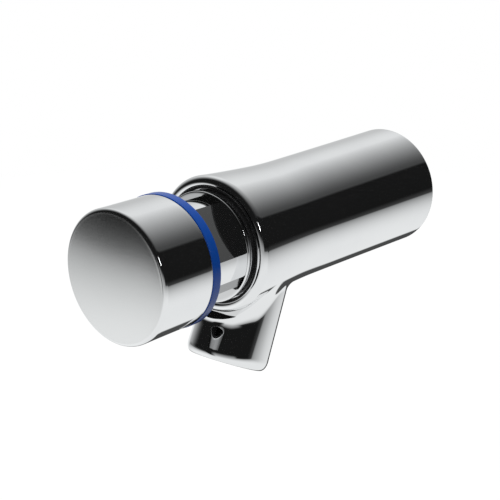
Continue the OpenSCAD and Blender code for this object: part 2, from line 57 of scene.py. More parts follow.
# Body
BODY_LENGTH = 100.4
REAR_R = 21.8
WAIST_R = 20.7
FRONT_R = 22.6
WAIST_S = 66.0
FRONT_EDGE = 2.2
LIP_R = 20.3
LIP_INNER = 1.9
REAR_EDGE = 0.8
FLARE_END_S = BODY_LENGTH - FRONT_EDGE
TAPER_POWER = 1.15
FLARE_POWER = 1.3
POLISH_SPAN = 7.0
POLISH_SAMPLES = 4
POLISH_FRONT_FADE = 14.0
POLISH_REAR_S = 20.0

# Bores of the body, from the mouth back to the inlet
THREAD_R = 17.0
THREAD_REAR_S = 91.0
CHAMBER_R = 16.0
SEAT_S = 60.5
REAR_CHAMBER_R = 14.0
REAR_CHAMBER_S = 22.6
PASSAGE_R = 7.5
PASSAGE_S = 14.6
RECESS_R = 9.816
INLET_R = 9.316
INLET_DEPTH = 11.0
INLET_PITCH = 1.814
INLET_THREAD_DEPTH = 1.15
INLET_FLANK = 1.25
INLET_CREST = 0.12
INLET_RUNOUT = 0.8

# Spout, a tapered tube that leans forward
SPOUT_S = 73.1
SPOUT_TILT = math.radians(25.5)
SPOUT_LENGTH = 46.977
SPOUT_ROOT_R = 12.8
SPOUT_END_R = 14.05
SPOUT_EDGE = 2.0
SPOUT_EDGE_L = 3.4
SPOUT_BORE_R = 11.7
SPOUT_SEAT_L = 36.977
FILLET_FRONT_R = 4.8
FILLET_SIDE_R = 6.8
FILLET_REAR_R = 1.6
FILLET_SIDE_TURNS = (0.15, 0.6)
FILLET_REAR_TURNS = (1.05, 1.72)
FILLET_REACH = 1.9
MEETING_FIRST_L = 6.0
MEETING_LAST_L = 42.0
CHIN_REACH = 12.0
STRAIGHT_MIN = 2.0
SKIN_SLACK = 0.01

# Bonnet
COLLAR_R = 18.3
COLLAR_S = 101.0
COLLAR_EDGE = 0.4
COLLAR_REAR_EDGE = 0.25
NECK_R = 16.3
NECK_S = 103.0
NECK_END_S = 120.0
NECK_FOOT = 0.2
NECK_CHAMFER = 0.6
CHAMFER_SLOPE = 0.6
FLAT_HALF = 13.5
CROSS_FLAT_HALF = 14.5
FLAT_TURN = math.radians(52.5)
FLAT_FACING = 0.3
THREAD_GAP = 0.05
CAVITY_R = 10.5
GLAND_R = 9.0
GLAND_S = 104.0
GROOVE_R = 9.8
GROOVE_S = 105.2
GROOVE_END_S = 106.4
BUSH_R = 6.0
BUSH_S = 112.0

# Button
BUTTON_R = 21.1
BUTTON_RIM_S = 142.4
BUTTON_TOP_S = 144.2
BUTTON_FLOOR_S = 138.6
BUTTON_EDGE = 1.4
RING_R = 21.35
RING_REAR_S = 118.8
RING_FRONT_S = 122.3
RING_EDGE = 0.45
RING_INNER_EDGE = 0.3
RING_SEAM = 1.0
SIDE_EDGE = 0.25
SKIRT_R = 18.9
SPIGOT_R = 19.9
SPIGOT_S = 125.8
BOSS_R = 7.0
BOSS_S = 130.0
BOSS_EDGE = 0.3
HOLLOW_EDGE = 0.6
STEM_HOLE_R = 4.05
STEM_HOLE_END_S = 137.7
CLIP_R = 4.8
CLIP_S = BOSS_S + (BUTTON_FLOOR_S - BOSS_S) / 3
CLIP_T = 1.2

# Springs
SPRING_GAP = 0.08
TIMING_COIL_R = 5.4
TIMING_WIRE_R = 0.55
TIMING_START_S = 29.1
TIMING_END_S = 50.6
TIMING_TURNS = 7
RETURN_COIL_R = 10.0
RETURN_WIRE_R = 0.6
RETURN_TURNS = 5

# Mesh counts
SPRING_STEPS = 36
WIRE_SIDES = 10
COLUMNS = 240
WINDOW_HALF_COLUMNS = 46
WINDOW_REAR_S = 58.0
WINDOW_ROWS = 60
REAR_ROWS = 56
PATCH_ROWS = 34
PATCH_POWER = 1.7
TURN_SAMPLES = 1441
FRONT_SAMPLES = 600
CHIN_COLUMNS = 48
LEDGE_ROWS = 4
FILLET_ROWS = 14
WALL_ROWS = 30
THREAD_ROWS = 60
FLAT_POINTS = 24
ROUND_POINTS = 8
NECK_ROWS = 12
FACE_ROWS = 40
ARC_ROWS = 12
CORNER_ROWS = 7
BORE_STEP = 2.5
COLLAR_STEP = 0.8
RING_STEP = 1.0
WELD = 2e-6
THINNEST = 1e-7

# Where a look begins on a piece and where it is full
BRASS_R = 10.6
BRASS_FULL_R = 10.45
BRASS_S = 30.0
BRASS_FULL_S = 29.9
SATIN_S = BUTTON_RIM_S - 0.12
SATIN_FULL_S = BUTTON_RIM_S + 0.02
# Where the painted shade inside the cap's hollow begins and where it is full.
HOLLOW_R = BUTTON_R - 0.04
HOLLOW_FULL_R = BUTTON_R - 0.2
HOLLOW_S = BUTTON_RIM_S - 1.2
HOLLOW_FULL_S = BUTTON_RIM_S - 1.8
# Where the painted shade on the ring's rear face begins and where it is full.
RING_SHADE_S = RING_REAR_S + 0.16
RING_SHADE_FULL_S = RING_REAR_S + 0.02

# Lamp, in metres and watts
LAMP_PLACE = (-0.25, 0.25, 0.9)
LAMP_AIM = (0, -0.07, -0.05)
LAMP_SIZE = 0.5
LAMP_WATTS = 6.0

# Camera, in metres; lens and sensor in millimetres
CAMERA_PLACE = (0.2298, -0.3531, 0.1091)
CAMERA_AIM = (-0.6130, 0.7273, -0.3082)
CAMERA_LENS = 80.6
CAMERA_SENSOR = 36.0
CAMERA_NEAREST = 0.01

# Floor, in metres
FLOOR_Z = -0.20
FLOOR_MIDDLE_Y = -0.07
FLOOR_R = 0.9
FLOOR_ROWS = 12
FLOOR_COLUMNS = 96


def to_part(x, s, z):
    """Points in metres in the part's frame: x across, minus s along Y, z up."""
    return np.stack([x, -s, z], axis=-1).reshape(-1, 3) * MM


def grid_quads(rows, columns, closed):
    """Quad indices of a rows by columns grid of points; closed joins the last column to the first."""
    row = np.arange(rows - 1)[:, None]
    column = np.arange(columns if closed else columns - 1)[None, :]
    after = (column + 1) % columns
    this = row * columns
    following = this + columns
    quads = [this + column, this + after, following + after, following + column]
    return np.stack(np.broadcast_arrays(*quads), axis=-1).reshape(-1, 4)


def arc(start, end, count):
    """Angles of a circular arc in equal steps, both ends included."""
    return np.linspace(start, end, count + 1)


def smooth(low, high, value):
    """Smooth step from 0 at low to 1 at high."""
    t = np.clip((value - low) / (high - low), 0, 1)
    return t * t * (3 - 2 * t)


class Shell:
    """Gathers grids of points that share edges and welds them into one closed mesh."""

    def __init__(self):
        self.points = []
        self.faces = []
        self.count = 0

    def add(self, points, rows, columns, closed=True):
        """Adds a grid of points, row by row; closed joins its last column to its first."""
        self.add_faces(points, grid_quads(rows, columns, closed))

    def add_faces(self, points, faces):
        """Adds points and the faces between them."""
        self.points.append(points)
        self.faces += (faces + self.count).tolist()
        self.count += len(points)

    def build(self, name, sharp_degrees=35):
        """Merges what meets, turns faces outward and makes the object; edges above the angle stay sharp."""
        mesh = bpy.data.meshes.new(name)
        points = np.concatenate(self.points)
        mesh.from_pydata(points.tolist(), [], self.faces)
        work = bmesh.new()
        work.from_mesh(mesh)
        bmesh.ops.remove_doubles(work, verts=work.verts, dist=WELD)
        bmesh.ops.dissolve_degenerate(work, edges=work.edges, dist=THINNEST)
        bmesh.ops.recalc_face_normals(work, faces=work.faces)
        work.to_mesh(mesh)
        work.free()
        mesh.shade_smooth()
        mesh.set_sharp_from_angle(angle=math.radians(sharp_degrees))
        piece = bpy.data.objects.new(name, mesh)
        bpy.context.scene.collection.objects.link(piece)
        return piece


def even_angles(count):
    """Angles of a full turn in equal steps."""
    return np.arange(count) * TURN / count


def revolve(shell, profile, angle=None):
    """Turns a profile of (radius, s) points round the tap's axis; angles run from straight down toward +X."""
    profile = np.array(profile, dtype=float)
    if angle is None:
        angle = even_angles(COLUMNS)
    r = profile[:, 0][:, None]
    s = profile[:, 1][:, None]
    shell.add(to_part(r * np.sin(angle), s + 0 * angle, -r * np.cos(angle)), len(profile), len(angle))


def add_bridge(shell, outer_angle, outer_r, inner_angle, inner_r, s):
    """Flat ring at s between two circles with different points.

    Each step along a circle makes one triangle with the last point that the other circle has passed.
    """
    outer = np.sort(outer_angle % TURN)
    inner = np.sort(inner_angle % TURN)

    def fan(own, other, side):
        """Two points of one circle and one of the other for each step."""
        ends = np.append(own[1:], own[0] + TURN)
        passed = np.searchsorted(np.append(other, other + TURN), ends, side=side) - 1
        here = np.arange(len(own))
        return here, (here + 1) % len(own), passed % len(other)

    start, end, tip = fan(outer, inner, "right")
    outer_faces = np.stack([start, end, tip + len(outer)], axis=-1)
    start, end, tip = fan(inner, outer, "left")
    inner_faces = np.stack([start + len(outer), end + len(outer), tip], axis=-1)
    angle = np.concatenate([outer, inner])
    r = np.concatenate([np.full(outer.shape, outer_r), np.full(inner.shape, inner_r)])
    points = to_part(r * np.sin(angle), s + 0 * angle, -r * np.cos(angle))
    shell.add_faces(points, np.concatenate([outer_faces, inner_faces]))


def spread(a, b, step):
    """Points from a to b, b left out, no further apart than step."""
    a = np.array(a, dtype=float)
    b = np.array(b, dtype=float)
    count = max(1, int(math.ceil(np.linalg.norm(b - a) / step)))
    return [tuple(a + (b - a) * k / count) for k in range(count)]


def rounded(corners, step=1.5):
    """A profile through (radius, s) or (radius, s, edge) corners; straight runs are split by step."""
    points = np.array([corner[:2] for corner in corners], dtype=float)
    edges = [corner[2] if len(corner) > 2 else 0 for corner in corners]
    runs = [[points[0]]]
    for before, here, after, edge in zip(points, points[1:], points[2:], edges[1:]):
        runs.append(round_corner(before, here, after, edge))
    runs.append([points[-1]])
    profile = []
    for left, right in zip(runs, runs[1:]):
        profile += [tuple(p) for p in left[:-1]]
        profile += spread(left[-1], right[0], step)
    profile.append(tuple(points[-1]))
    return profile


def round_corner(before, here, after, radius):
    """An arc of the given radius that touches both straight runs at a corner."""
    if radius <= 0:
        return [here]
    u = (before - here) / np.linalg.norm(before - here)
    v = (after - here) / np.linalg.norm(after - here)
    half = math.acos(np.clip(np.dot(u, v), -1, 1)) / 2
    middle = (u + v) / np.linalg.norm(u + v)
    centre = here + middle * radius / math.sin(half)
    first = here + u * radius / math.tan(half) - centre
    last = here + v * radius / math.tan(half) - centre
    sweep = math.pi - 2 * half
    t = np.linspace(0, 1, CORNER_ROWS + 1)
    weights = zip(np.sin((1 - t) * sweep) / math.sin(sweep), np.sin(t * sweep) / math.sin(sweep))
    return [centre + a * first + b * last for a, b in weights]


def corner_arc(r, s, size, start, end):
    """Profile points on an arc about (r, s); angles run from outward toward the front."""
    return [(r + size * math.cos(a), s + size * math.sin(a)) for a in arc(start, end, ARC_ROWS)]


# Body with spout


def turned_radius(s):
    """Waisted outline: a slow power curve from rear to waist, a quicker one from waist to front."""
    rear = np.clip(1 - s / WAIST_S, 0, None) ** TAPER_POWER
    front = np.clip((s - WAIST_S) / (FLARE_END_S - WAIST_S), 0, 1) ** FLARE_POWER
    return WAIST_R + (REAR_R - WAIST_R) * rear + (FRONT_R - WAIST_R) * front


def body_radius(s):
    """Polished outline: the mean of the turned radius over a short span that closes toward both ends."""
    front_fade = smooth(FLARE_END_S, FLARE_END_S - POLISH_FRONT_FADE, s)
    span = POLISH_SPAN * front_fade * smooth(REAR_EDGE, POLISH_REAR_S, s)
    shifts = np.arange(-POLISH_SAMPLES, POLISH_SAMPLES + 1) / POLISH_SAMPLES
    return sum(turned_radius(s + span * shift) for shift in shifts) / len(shifts)


def spout_radius(l):
    """Outside radius of the spout, growing evenly with l."""
    return SPOUT_ROOT_R + (SPOUT_END_R - SPOUT_ROOT_R) * l / SPOUT_LENGTH


def spout_point(l, r, turn):
    """(x, s, z) at l down the spout's axis, r out from it, turn from the front toward +X."""
    out = r * np.cos(turn)
    s = SPOUT_S + l * math.sin(SPOUT_TILT) + out * math.cos(SPOUT_TILT)
    z = -l * math.cos(SPOUT_TILT) + out * math.sin(SPOUT_TILT)
    return r * np.sin(turn), s, z


def spout_place(x, s, z):
    """Inverse of spout_point: (l, r, turn)."""
    l = (s - SPOUT_S) * math.sin(SPOUT_TILT) - z * math.cos(SPOUT_TILT)
    out = (s - SPOUT_S) * math.cos(SPOUT_TILT) + z * math.sin(SPOUT_TILT)
    return l, np.hypot(x, out), np.arctan2(x, out)


def halve(inside, low, high, steps=44):
    """Where inside(value) turns from true to false between low and high, for whole arrays."""
    low = np.array(low, dtype=float)
    high = np.array(high, dtype=float)
    for _ in range(steps):
        middle = (low + high) / 2
        keep = inside(middle)
        low = np.where(keep, middle, low)
        high = np.where(keep, high, middle)
    return (low + high) / 2


def fillet_radius(turn):
    """Fillet between body and spout: widest at the sides, tight at the back."""
    side = smooth(*FILLET_SIDE_TURNS, np.abs(turn))
    rear = smooth(*FILLET_REAR_TURNS, np.abs(turn))
    return FILLET_FRONT_R + (FILLET_SIDE_R - FILLET_FRONT_R) * side - (FILLET_SIDE_R - FILLET_REAR_R) * rear


def joined(x, s, z):
    """Below 0 inside the body and spout joined with a round fillet, above 0 in the air."""
    l, r, turn = spout_place(x, s, z)
    from_spout = r - spout_radius(l)
    from_body = np.hypot(x, z) - body_radius(s)
    size = fillet_radius(turn)
    corner = np.hypot(np.clip(size - from_spout, 0, None), np.clip(size - from_body, 0, None))
    return np.maximum(size, np.minimum(from_spout, from_body)) - corner


def on_skin(angle, s):
    """Radius of the joined skin round the body's axis; angle is from straight down toward +X."""
    base = body_radius(s)

    def inside(r):
        return joined(r * np.sin(angle), s, -r * np.cos(angle)) < 0

    return halve(inside, base - SKIN_SLACK, base + FILLET_SIDE_R)


def on_spout_skin(l, turn):
    """Radius of the joined skin round the spout's axis."""
    base = spout_radius(l)

    def inside(r):
        return joined(*spout_point(l, r, turn)) < 0

    return halve(inside, base - SKIN_SLACK, base + FILLET_SIDE_R)


def skin_points(angle, s, r):
    """Points at radius r and angle round the body's axis."""
    return to_part(r * np.sin(angle), s, -r * np.cos(angle))


def meeting_l(turn):
    """Middle of the fillet: as far from the spout's wall as from the body's."""
    gap = fillet_radius(turn) * (1 - math.sqrt(0.5))

    def inside(l):
        x, s, z = spout_point(l, spout_radius(l) + gap, turn)
        return np.hypot(x, z) - body_radius(s) < gap

    l = halve(inside, np.full(turn.shape, MEETING_FIRST_L), np.full(turn.shape, MEETING_LAST_L))
    return l, spout_radius(l) + gap


def window_path(window_s, half_angle):
    """Round the window in the body's grid, open at the front: +X side, rear edge, -X side."""
    right = np.stack([np.full(WINDOW_ROWS, half_angle), window_s[::-1][:-1]], axis=-1)
    rear_columns = np.linspace(half_angle, -half_angle, 2 * WINDOW_HALF_COLUMNS + 1)[:-1]
    rear = np.stack([rear_columns, np.full(2 * WINDOW_HALF_COLUMNS, window_s[0])], axis=-1)
    left = np.stack([np.full(WINDOW_ROWS + 1, -half_angle), window_s], axis=-1)
    return np.concatenate([right, rear, left])


def meeting_point(turn):
    """(angle, s) on the body of the fillet's middle, turn running from the front round the back."""
    wrapped = (turn + math.pi) % TURN - math.pi
    l, r = meeting_l(wrapped)
    x, s, z = spout_point(l, r, wrapped)
    return np.arctan2(x, -z), s


def front_turn():
    """Turn where the fillet's middle comes forward to the rim."""
    turn = np.linspace(0.05, 1.5, FRONT_SAMPLES)
    _, s = meeting_point(turn)
    return float(np.interp(-FLARE_END_S, -s, turn))


def matched_turns(path, first):
    """For each point of the window, the turn on the spout that faces it, in even order."""
    turn = np.linspace(first, TURN - first, TURN_SAMPLES)
    angle, s = meeting_point(turn)
    middle_s = 0.5 * (s.max() + s.min())
    inner = np.unwrap(np.arctan2(WAIST_R * angle, s - middle_s))
    outer = np.unwrap(np.arctan2(WAIST_R * path[:, 0], path[:, 1] - middle_s))
    share = (outer - outer[0]) / (outer[-1] - outer[0])
    even = inner[0] + (inner[-1] - inner[0]) * share
    return np.interp(even, inner, turn)


def add_skin(shell):
    """Body outside, with the spout let into it through a fillet. Gives back the rim's angles."""
    half_angle = WINDOW_HALF_COLUMNS * TURN / COLUMNS
    window_s = np.linspace(WINDOW_REAR_S, FLARE_END_S, WINDOW_ROWS + 1)
    rear_s = np.linspace(REAR_EDGE, WINDOW_REAR_S, REAR_ROWS + 1)
    around = half_angle + np.arange(COLUMNS - 2 * WINDOW_HALF_COLUMNS + 1) * TURN / COLUMNS
    for s, angle, closed in ((rear_s, even_angles(COLUMNS), True), (window_s, around, False)):
        s_grid, angle_grid = np.meshgrid(s, angle, indexing="ij")
        shell.add(skin_points(angle_grid, s_grid, body_radius(s_grid)), len(s), len(angle), closed)
    first = front_turn()
    path = window_path(window_s, half_angle)
    turn = matched_turns(path, first)
    hole = np.stack(meeting_point(turn), axis=-1)
    hole[[0, -1], 1] = FLARE_END_S
    t = (np.linspace(0, 1, PATCH_ROWS + 1) ** PATCH_POWER)[:, None, None]
    patch = hole * (1 - t) + path * t
    patch_r = on_skin(patch[..., 0], patch[..., 1])
    patch_r[-1] = body_radius(path[:, 1])
    shell.add(skin_points(patch[..., 0], patch[..., 1], patch_r), PATCH_ROWS + 1, len(path), False)
    sides = [(patch[:, k, 0], patch_r[:, k]) for k in (0, -1)]
    for angle, r in sides:
        flat = np.full(angle.shape, FLARE_END_S)
        add_step(shell, angle, [(np.full(angle.shape, FRONT_R), flat), (r, flat)])
    chin_angle = np.linspace(hole[-1, 0], hole[0, 0], CHIN_COLUMNS + 1)
    chin = add_chin(shell, chin_angle, patch_r[0, 0])
    l, r = meeting_l((turn + math.pi) % TURN - math.pi)
    r[[0, -1]] = chin[1][[-1, 0]]
    l[[0, -1]] = chin[0][[-1, 0]]
    lines = [np.concatenate([a, b[1:-1]]) for a, b in zip((l, r, turn), chin)]
    add_spout(shell, *lines)
    left = sides[1][0][::-1]
    right = sides[0][0]
    return np.concatenate([around[:-1], left[:-1] + TURN, chin_angle[:-1] + TURN, right[:-1] + TURN])


def add_step(shell, angle, rows):
    """A strip of rows, each a radius and an s for every angle round the body's axis."""
    r = np.stack([row[0] for row in rows])
    s = np.stack([row[1] for row in rows])
    shell.add(skin_points(angle + 0 * r, s, r), len(rows), len(angle), False)


def add_chin(shell, angle, cut_r):
    """Flat and narrow ledge where turning the rim cut the fillet. Gives (l, r, turn) of the ledge's edge."""
    flat = np.full(angle.shape, FLARE_END_S)
    radius = np.full(angle.shape, cut_r)

    def inside(s):
        return joined(cut_r * np.sin(angle), s, -cut_r * np.cos(angle)) < 0

    edge_s = halve(inside, flat - 0.001, flat + CHIN_REACH)
    edge_s[[0, -1]] = FLARE_END_S
    ledge = [(radius, flat * (1 - t) + edge_s * t) for t in np.linspace(0, 1, LEDGE_ROWS + 1)]
    add_step(shell, angle, [(np.full(angle.shape, FRONT_R), flat)] + ledge)
    return spout_place(cut_r * np.sin(angle), edge_s, -cut_r * np.cos(angle))


def add_spout(shell, meet_l, meet_r, turn):
    """Spout wall from the fillet to the lip, then the lip and the bore up to the aerator's seat."""
    wrapped = (turn + math.pi) % TURN - math.pi
    straight_end = SPOUT_LENGTH - SPOUT_EDGE_L
    tangent_l = np.minimum(meet_l + FILLET_REACH * fillet_radius(wrapped), straight_end - STRAIGHT_MIN)
    near = np.linspace(0, 1, FILLET_ROWS + 1)[:, None]
    far = np.linspace(0, 1, WALL_ROWS + 1)[1:, None]
    l = np.concatenate([meet_l * (1 - near) + tangent_l * near, tangent_l * (1 - far) + straight_end * far])
    r = on_spout_skin(l, wrapped)
    r[0] = meet_r
    r[-1] = spout_radius(straight_end)
    lip = arc(0, math.pi / 2, ARC_ROWS)[1:, None] + 0 * turn
    edge_r = spout_radius(straight_end) - SPOUT_EDGE
    lip_r = edge_r + SPOUT_EDGE * np.cos(lip)
    lip_l = straight_end + SPOUT_EDGE_L * np.sin(lip)
    corners = [
        (edge_r, SPOUT_LENGTH),
        (SPOUT_BORE_R, SPOUT_LENGTH),
        (SPOUT_BORE_R, SPOUT_SEAT_L),
        (0, SPOUT_SEAT_L),
    ]
    bore = np.array(rounded(corners)[1:])
    r = np.concatenate([r, lip_r, bore[:, :1] + 0 * turn])
    l = np.concatenate([l, lip_l, bore[:, 1:] + 0 * turn])
    shell.add(to_part(*spout_point(l, r, turn[None, :] + 0 * l)), len(l), len(turn))


def add_thread(shell):
    """Inlet thread: the bore's radius rises and falls along a helix and fades out at both ends."""
    s = np.linspace(0, INLET_DEPTH, THREAD_ROWS + 1)
    s_grid, angle_grid = np.meshgrid(s, even_angles(COLUMNS), indexing="ij")
    phase = (s_grid / INLET_PITCH - angle_grid / TURN) % 1
    wave = np.clip(INLET_FLANK * (1 - np.abs(2 * phase - 1)) - INLET_CREST, 0, 1)
    runout_s = INLET_DEPTH - INLET_RUNOUT * INLET_PITCH
    fade = smooth(0, INLET_PITCH, s_grid) * smooth(INLET_DEPTH, runout_s, s_grid)
    r = INLET_R + INLET_THREAD_DEPTH * wave * fade
    shell.add(to_part(r * np.sin(angle_grid), s_grid, -r * np.cos(angle_grid)), len(s), COLUMNS)


def build_body():
    """Skin with the spout, then the rim, the stepped bores and the threaded inlet, turned about the axis."""
    shell = Shell()
    rim = add_skin(shell)
    lip_s = BODY_LENGTH - LIP_INNER
    front = corner_arc(FRONT_R - FRONT_EDGE, FLARE_END_S, FRONT_EDGE, 0, math.pi / 2)
    inner = corner_arc(LIP_R, lip_s, LIP_INNER, math.pi / 2, math.pi)
    bore = [
        inner[-1],
        (THREAD_R, lip_s),
        (THREAD_R, THREAD_REAR_S),
        (CHAMBER_R, THREAD_REAR_S),
        (CHAMBER_R, SEAT_S),
        (REAR_CHAMBER_R, SEAT_S),
        (REAR_CHAMBER_R, REAR_CHAMBER_S),
    ]
    revolve(shell, front + inner[:-1] + rounded(bore, BORE_STEP), rim)
    add_bridge(shell, rim, REAR_CHAMBER_R, even_angles(COLUMNS), PASSAGE_R, REAR_CHAMBER_S)
    passage = [
        (PASSAGE_R, REAR_CHAMBER_S),
        (PASSAGE_R, PASSAGE_S),
        (RECESS_R, PASSAGE_S),
        (RECESS_R, INLET_DEPTH),
        (INLET_R, INLET_DEPTH),
    ]
    revolve(shell, rounded(passage, BORE_STEP))
    rear_r = float(body_radius(np.array(REAR_EDGE)))
    rear = corner_arc(rear_r - REAR_EDGE, REAR_EDGE, REAR_EDGE, 0, -math.pi / 2)
    revolve(shell, rear[:-1] + rounded([rear[-1], (INLET_R, 0)], BORE_STEP))
    add_thread(shell)
    return shell.build("tap_body")


# Bonnet


def neck_ring():
    """Neck outline as angles and radii: a circle cut by two pairs of flats, with points on every edge."""
    halves = (FLAT_HALF, CROSS_FLAT_HALF) * 2
    spans = np.array([math.acos(half / NECK_R) for half in halves])
    middles = FLAT_TURN + np.arange(4) * math.pi / 2
    starts = middles - spans
    ends = middles + spans
    after = np.append(starts[1:], starts[0] + TURN)
    angles = []
    for start, end, following in zip(starts, ends, after):
        angles.append(np.linspace(start, end, FLAT_POINTS + 1))
        angles.append(np.linspace(end, following, ROUND_POINTS + 1)[1:-1])
    angle = np.concatenate(angles)
    radius = np.full(angle.shape, NECK_R)
    for middle, half in zip(middles, halves):
        facing = np.cos(angle - middle)
        flat = half / np.clip(facing, FLAT_FACING, 1)
        radius = np.where(facing > FLAT_FACING, np.minimum(radius, flat), radius)
    return angle, radius


def build_bonnet():
    """Neck with flats, collar with rounded edges, plain thread behind and a stepped bore, ring by ring."""
    angle, neck = neck_ring()
    end = np.minimum(neck, NECK_R - NECK_CHAMFER)
    chamfer_s = NECK_END_S - (neck - end) * CHAMFER_SLOPE
    bore = [
        (CAVITY_R, THREAD_REAR_S),
        (CAVITY_R, GLAND_S),
        (GLAND_R, GLAND_S),
        (GLAND_R, GROOVE_S),
        (GROOVE_R, GROOVE_S),
        (GROOVE_R, GROOVE_END_S),
        (GLAND_R, GROOVE_END_S),
        (GLAND_R, BUSH_S),
        (BUSH_R, BUSH_S),
        (BUSH_R, NECK_END_S),
    ]
    side = [(neck, chamfer_s * (1 - t) + NECK_S * t) for t in np.linspace(0, 1, NECK_ROWS + 1)]
    collar = [
        (NECK_R + NECK_FOOT, NECK_S),
        (COLLAR_R, NECK_S, COLLAR_EDGE),
        (COLLAR_R, COLLAR_S, COLLAR_REAR_EDGE),
        (THREAD_R - THREAD_GAP, COLLAR_S),
        (THREAD_R - THREAD_GAP, THREAD_REAR_S),
        (CAVITY_R, THREAD_REAR_S),
    ]
    rows = bore + [(end, NECK_END_S)] + side + rounded(collar, COLLAR_STEP)
    r = np.stack([np.broadcast_to(row[0], angle.shape) for row in rows])
    s = np.stack([np.broadcast_to(row[1], angle.shape) for row in rows])
    shell = Shell()
    shell.add(to_part(r * np.sin(angle), s, r * np.cos(angle)), len(rows), len(angle))
    return shell.build("neck_bonnet", sharp_degrees=20)


# Button


def build_button():
    """Cap: domed face, rounded edge, straight side, and the hollow behind with its boss."""
    face_r = BUTTON_R - BUTTON_EDGE
    dome = BUTTON_TOP_S - BUTTON_RIM_S
    sphere_r = (face_r ** 2 + dome ** 2) / (2 * dome)
    lean = math.asin(face_r / sphere_r)
    centre_s = BUTTON_TOP_S - sphere_r
    face = [(r, centre_s + math.sqrt(sphere_r ** 2 - r ** 2)) for r in np.linspace(0, face_r, FACE_ROWS + 1)]
    edge = corner_arc(face_r, BUTTON_RIM_S - BUTTON_EDGE, BUTTON_EDGE, math.pi / 2 - lean, 0)
    side = [
        edge[-1],
        (BUTTON_R, RING_FRONT_S, SIDE_EDGE),
        (SPIGOT_R, RING_FRONT_S),
        (SPIGOT_R, SPIGOT_S),
        (SKIRT_R, SPIGOT_S),
        (SKIRT_R, BUTTON_FLOOR_S, HOLLOW_EDGE),
        (BOSS_R, BUTTON_FLOOR_S),
        (BOSS_R, BOSS_S, BOSS_EDGE),
        (STEM_HOLE_R, BOSS_S),
        (STEM_HOLE_R, CLIP_S),
        (CLIP_R, CLIP_S),
        (CLIP_R, CLIP_S + CLIP_T),
        (STEM_HOLE_R, CLIP_S + CLIP_T),
        (STEM_HOLE_R, STEM_HOLE_END_S),
        (0, STEM_HOLE_END_S),
    ]
    shell = Shell()
    revolve(shell, face + edge[:-1] + rounded(side))
    return shell.build("button_cap", sharp_degrees=40)


def build_ring():
    """Ring with rounded edges and a thin spigot that sits in the cap's skirt, turned about the axis."""
    corners = [
        (SKIRT_R, RING_REAR_S + RING_SEAM),
        (SKIRT_R, RING_REAR_S, RING_INNER_EDGE),
        (RING_R, RING_REAR_S, RING_EDGE),
        (RING_R, RING_FRONT_S, RING_INNER_EDGE),
        (SPIGOT_R, RING_FRONT_S),
        (SPIGOT_R, SPIGOT_S),
        (SKIRT_R, SPIGOT_S),
        (SKIRT_R, RING_REAR_S + RING_SEAM),
    ]
    shell = Shell()
    revolve(shell, rounded(corners, RING_STEP))
    return shell.build("blue_ring")


# Springs


def build_spring(name, coil_r, wire_r, start_s, end_s, turns):
    """Round wire on a helix: at each angle the wire's circle stands in the axis's plane; ends are closed."""
    angle = np.linspace(0, TURN * turns, SPRING_STEPS * turns + 1)
    share = angle / angle[-1]
    inset = wire_r + SPRING_GAP
    middle_s = start_s + inset + (end_s - start_s - 2 * inset) * share
    angle = np.concatenate([angle[:1], angle, angle[-1:]])[:, None]
    middle_s = np.concatenate([middle_s[:1], middle_s, middle_s[-1:]])[:, None]
    wire = np.full(angle.shape, wire_r)
    wire[[0, -1]] = 0
    around = even_angles(WIRE_SIDES)
    r = coil_r + wire * np.cos(around)
    s = middle_s + wire * np.sin(around)
    shell = Shell()
    shell.add(to_part(r * np.cos(angle), s, r * np.sin(angle)), len(angle), WIRE_SIDES)
    return shell.build(name)


def fit_spring(spring, material, node):
    """The spring stands on the tap and gets a mesh of its own."""
    finish_piece(spring, material, "tap", "steel", node)
    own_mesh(spring)


# Materials


class Value:
    """A socket in a node tree that can be used in sums."""

    def __init__(self, tree, socket):
        self.tree = tree
        self.socket = socket

    def math(self, operation, *others):
        """One maths node with this value in its first socket."""
        node = self.tree.nodes.new("ShaderNodeMath")
        node.operation = operation
        for slot, item in zip(node.inputs, (self,) + others):
            join(self.tree, item, slot)
        return Value(self.tree, node.outputs[0])

    def __add__(self, other):
        return self.math("ADD", other)

    def __sub__(self, other):
        return self.math("SUBTRACT", other)

    def __mul__(self, other):
        return self.math("MULTIPLY", other)

    def __truediv__(self, other):
        return self.math("DIVIDE", other)

    def __rsub__(self, other):
        return (self * -1).math("ADD", other)

    __radd__ = __add__
    __rmul__ = __mul__

    def clamp(self):
        """The value held between 0 and 1."""
        return self.math("MAXIMUM", 0.0).math("MINIMUM", 1.0)

    def step(self, low, high, out_low=0.0, out_high=1.0):
        """Smooth step from out_low at low to out_high at high."""
        settings = {"interpolation_type": "SMOOTHSTEP"}
        sockets = {"Value": self, "From Min": low, "From Max": high, "To Min": out_low, "To Max": out_high}
        return add(self.tree, "ShaderNodeMapRange", settings, sockets)


def join(tree, item, slot):
    """Links a value to a socket, or sets a constant on it."""
    if isinstance(item, Value):
        tree.links.new(item.socket, slot)
    else:
        slot.default_value = item


def add(tree, kind, settings=None, sockets=None, output=0):
    """Adds one node, sets its properties, fills its sockets by name and gives back one output."""
    node = tree.nodes.new(kind)
    for key, value in (settings or {}).items():
        setattr(node, key, value)
    for key, value in (sockets or {}).items():
        join(tree, value, node.inputs[key])
    return Value(tree, node.outputs[output])


def split(tree, vector):
    """The three values of a vector."""
    node = tree.nodes.new("ShaderNodeSeparateXYZ")
    join(tree, vector, node.inputs[0])
    return [Value(tree, out) for out in node.outputs]


def object_xyz(tree):
    """Object coordinates as a vector and as three values."""
    place = add(tree, "ShaderNodeTexCoord", output="Object")
    return place, split(tree, place)


def noise(tree, place, scale, detail=3.0, rough=0.55):
    """Cloudy noise round 0.5, with scale cells to the metre."""
    sockets = {"Vector": place, "Scale": scale, "Detail": detail, "Roughness": rough}
    return add(tree, "ShaderNodeTexNoise", None, sockets)


